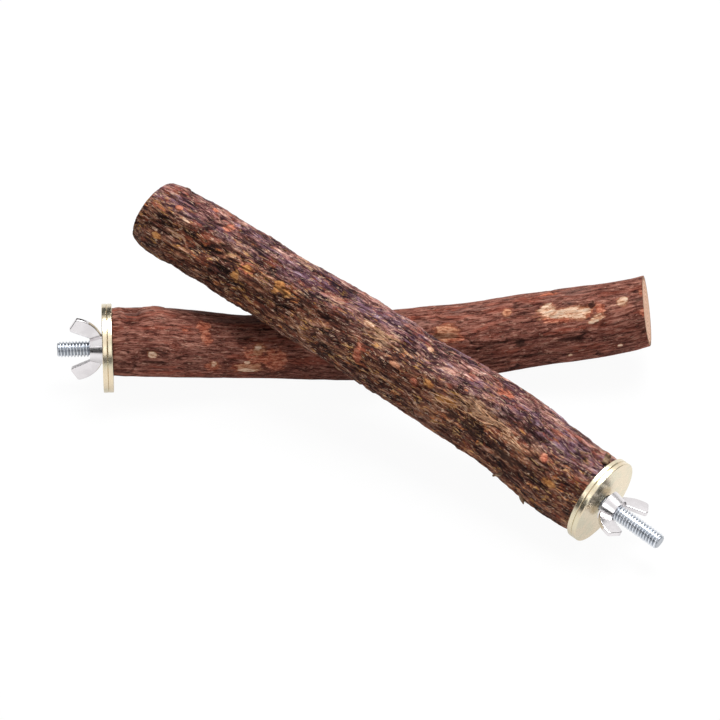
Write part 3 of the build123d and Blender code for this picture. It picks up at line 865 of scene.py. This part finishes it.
def strand_tree():
    """Thin bent fibres lying along the grain where the bark is frayed."""
    make, given = new_tree("frayed_fibres", {
        "Geometry": ("NodeSocketGeometry", None), "Density": ("NodeSocketFloat", 1e5),
        "Length": ("NodeSocketFloat", 0.006), "Thickness": ("NodeSocketFloat", 0.0001),
        "Lift": ("NodeSocketFloat", 0.0008), "Seed": ("NodeSocketInt", 4),
        "Material": ("NodeSocketMaterial", None)})

    def carried(name, kind):
        return make.add("GeometryNodeInputNamedAttribute", {"data_type": kind}, {"Name": name})

    def varied(low, high, seed):
        return make.add("FunctionNodeRandomValue", {"data_type": "FLOAT_VECTOR"}, {
            0: low, 1: high, "Seed": given["Seed"] + seed})

    points = make.tree.nodes.new("GeometryNodeDistributePointsOnFaces")
    make.tree.links.new(given["Geometry"].socket, points.inputs["Mesh"])
    density = carried("fray", "FLOAT") * given["Density"]
    make.tree.links.new(density.socket, points.inputs["Density"])
    make.tree.links.new(given["Seed"].socket, points.inputs["Seed"])
    sway = make.add("ShaderNodeVectorMath", {"operation": "ADD"}, {
        0: carried("lengthwise", "FLOAT_VECTOR"), 1: varied((-0.4,) * 3, (0.4,) * 3, 1)})
    turn = make.add("FunctionNodeAxesToRotation", None, {
        "Primary Axis": Value(make, points.outputs["Normal"]), "Secondary Axis": sway})
    half = given["Length"] * 0.5
    ends = [make.add("ShaderNodeCombineXYZ", None, {"X": half * sign, "Z": given["Lift"] * rise})
            for sign, rise in ((-1.0, -0.4), (0.0, 1.2), (1.0, 0.3))]
    line = make.add("GeometryNodeCurveQuadraticBezier", None, {
        "Resolution": 6, "Start": ends[0], "Middle": ends[1], "End": ends[2]})
    round_wire = make.add("GeometryNodeCurvePrimitiveCircle", None, {
        "Resolution": 5, "Radius": given["Thickness"]})
    strand = make.add("GeometryNodeCurveToMesh", None, {
        "Curve": line, "Profile Curve": round_wire, "Fill Caps": True})
    strands = make.add("GeometryNodeInstanceOnPoints", None, {
        "Points": Value(make, points.outputs["Points"]), "Instance": strand, "Rotation": turn,
        "Scale": varied((0.4, 0.6, 0.6), (1.5, 1.3, 1.3), 2)})
    return close_tree(make, strands, given["Material"])


def empty_carrier():
    return bpy.data.objects.new("carrier", bpy.data.meshes.new("carrier"))


def bolt_piece(branch, tree, material):
    """The hanger bolt: machine thread outside, wood thread and point inside the branch."""
    bolt_node = frame["nodes"][f"{branch.name}_hanger_bolt"]
    points, _ = triangles_of(bolt_node.data)
    tip = ((points - np.array(branch.seat)) @ np.array(branch.outward)).max()
    stud_length = BOLT_LENGTH - SCREW_LENGTH
    carrier = empty_carrier()
    bpy.context.scene.collection.objects.link(carrier)
    stud = grown(carrier, tree, {
        "Length": stud_length, "Pitch": THREAD_PITCH, "Crest Radius": THREAD_CREST, "Depth": THREAD_DEPTH,
        "Start Radius": NO_LIMIT, "Start Slope": 1.0, "Tip Radius": TIP_RADIUS, "Rows": STUD_ROWS,
        "Material": material})
    screw = grown(carrier, tree, {
        "Length": SCREW_LENGTH, "Pitch": SCREW_PITCH, "Crest Radius": SCREW_CREST, "Depth": SCREW_DEPTH,
        "Start Radius": SCREW_POINT, "Start Slope": SCREW_SLOPE, "Tip Radius": NO_LIMIT, "Rows": SCREW_ROWS,
        "Material": material})
    bpy.data.objects.remove(carrier)
    stud.transform(Matrix.Translation((tip - stud_length, 0, 0)))
    screw.transform(Matrix.Translation((tip - BOLT_LENGTH, 0, 0)))
    turn = Matrix((branch.outward, -branch.side, branch.up)).transposed().to_4x4()
    parts = []
    ridges = []
    for mesh, crest, depth in ((screw, SCREW_CREST, SCREW_DEPTH), (stud, THREAD_CREST, THREAD_DEPTH)):
        points, _ = triangles_of(mesh)
        ridges.append(np.clip((np.hypot(points[:, 1], points[:, 2]) - crest + depth) / depth, 0, 1))
        mesh.transform(Matrix.Translation(branch.seat) @ turn)
        parts.append(triangles_of(mesh))
    shift = len(parts[0][0])
    points = np.concatenate([parts[0][0], parts[1][0]])
    corners = np.concatenate([parts[0][1], parts[1][1] + shift])
    bolt = mesh_object(f"{branch.name}_threaded_bolt", points, corners.tolist(),
                       {"ridge": np.concatenate(ridges)})
    bolt.data.materials.append(material)
    return bolt


# Stage

def rays(make, *kinds):
    """1 for the named kinds of rays, such as those from the camera, and 0 for what lights the scene."""
    return sum(make.add("ShaderNodeLightPath", out=f"Is {kind} Ray") for kind in kinds).clamped()


def stage_plane(name, corners, material):
    mesh = bpy.data.meshes.new(name)
    mesh.from_pydata(corners, [], [(0, 1, 2, 3)])
    mesh.materials.append(material)
    plane = show(name, mesh)
    return plane


def floor_and_world():
    make = Finish("pale_floor")
    make.set(Base_Color=rgb(0.88, 0.88, 0.88), Roughness=0.9, Specular_IOR_Level=0.0)
    white = make.add("ShaderNodeEmission", None, {"Color": rgb(1, 1, 1), "Strength": 1.0})
    mixed = make.add("ShaderNodeMixShader", None, {
        0: rays(make, "Camera") * FLOOR_GLOW + rays(make, "Glossy", "Transmission") * FLOOR_IN_METAL,
        1: Value(make, make.shader.outputs[0]), 2: white})
    make.tree.links.new(mixed.socket, make.tree.nodes["Material Output"].inputs["Surface"])
    stage_plane("floor", [(-3, -3, 0), (3, -3, 0), (3, 3, 0), (-3, 3, 0)], make.material)
    world = bpy.data.worlds.new("studio")
    world.use_nodes = True
    bpy.context.scene.world = world
    sky = Recipe(world.node_tree)
    strength = rays(sky, "Camera", "Glossy", "Transmission") * (1.0 - AMBIENT) + AMBIENT
    backdrop = sky.tree.nodes["Background"]
    backdrop.inputs["Color"].default_value = rgb(1, 1, 1)
    sky.tree.links.new(strength.socket, backdrop.inputs["Strength"])


def cards():
    """Dark cards round the set, hidden from the camera: they darken the metal's edges and shade the bark."""
    make = Finish("black_card")
    make.set(Base_Color=rgb(0.02, 0.02, 0.02), Roughness=1.0, Specular_IOR_Level=0.0)
    up = Vector((0, 0, 1))
    for name, (place, width, height) in CARDS.items():
        middle = Vector(place)
        right = middle.cross(up).normalized() * width / 2
        rise = up * height / 2
        corners = [middle - right - rise, middle + right - rise, middle + right + rise, middle - right + rise]
        card = stage_plane(name, corners, make.material)
        card.visible_camera = False


def lamps():
    for name, (place, size, power) in LAMPS.items():
        light = bpy.data.lights.new(name, "AREA")
        light.size = size
        light.energy = power
        lamp = bpy.data.objects.new(name, light)
        lamp.location = place
        lamp.rotation_euler = (-Vector(place)).to_track_quat("-Z", "Y").to_euler()
        bpy.context.scene.collection.objects.link(lamp)


def camera():
    right, up, ahead = view_axes()
    lens = bpy.data.cameras.new("photo_camera")
    lens.sensor_width = SENSOR_MM
    lens.lens = VIEW_DISTANCE / METRES_PER_PIXEL * SENSOR_MM / PHOTO_PIXELS
    lens.clip_end = 20.0
    viewer = bpy.data.objects.new("photo_camera", lens)
    turn = Matrix((right, up, -ahead)).transposed().to_4x4()
    viewer.matrix_world = Matrix.Translation(VIEW_TARGET - ahead * VIEW_DISTANCE) @ turn
    bpy.context.scene.collection.objects.link(viewer)
    bpy.context.scene.camera = viewer


bpy.context.scene.view_settings.view_transform = "Standard"
camera()
floor_and_world()
cards()
lamps()

sawn = sawn_wood_finish()
fibre = strand_finish()
twig = twig_finish()
zinc = plated_finish("bright_zinc", (0.80, 0.83, 0.88), (0.70, 0.74, 0.80), 0.24, threaded=True)
yellow = plated_finish("yellow_zinc", (0.78, 0.66, 0.48), (0.71, 0.64, 0.47), 0.18)
nickel = plated_finish("bright_nickel", (0.78, 0.75, 0.76), (0.71, 0.68, 0.69), 0.12)
threads = thread_tree()
fibres = strand_tree()


def settle(piece, body, node):
    """Let a piece ride its body and stand for its solid."""
    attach(piece, body)
    if node:
        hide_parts(node)


for name, marks, relief_of, finish in (
        ("rear", REAR_MARKS, rear_relief, rear_bark_finish()),
        ("front", FRONT_MARKS, front_relief, front_bark_finish())):
    branch = Branch(name)
    relief, cracks = relief_of(branch)
    values, lift = marks_on(branch, marks)
    bark = bark_piece(branch, relief + lift, {**values, "crack": cracks})
    bark.data.materials.append(finish)
    wood = wood_piece(branch)
    wood.data.materials.append(sawn)
    body = f"{name}_branch"
    if name == "front":
        fray = show("front_frayed_fibres", grown(bark, fibres, {
            "Density": FIBRE_DENSITY, "Length": FIBRE_LENGTH, "Thickness": FIBRE_THICKNESS,
            "Lift": FIBRE_LIFT, "Seed": FIBRE_SEED, "Material": fibre}))
        settle(fray, body, None)
        twigs = splinter_piece(branch, SPLINTERS)
        twigs.data.materials.append(twig)
        settle(twigs, body, None)
    settle(bark, body, f"{name}_bark")
    settle(wood, body, f"{name}_wood")
    settle(bolt_piece(branch, threads, zinc), body, f"{name}_hanger_bolt")
    for node, metal in (("inner_washer", yellow), ("outer_washer", yellow), ("wing_nut", nickel)):
        frame["nodes"][f"{name}_{node}"].material_slots[0].material = metal
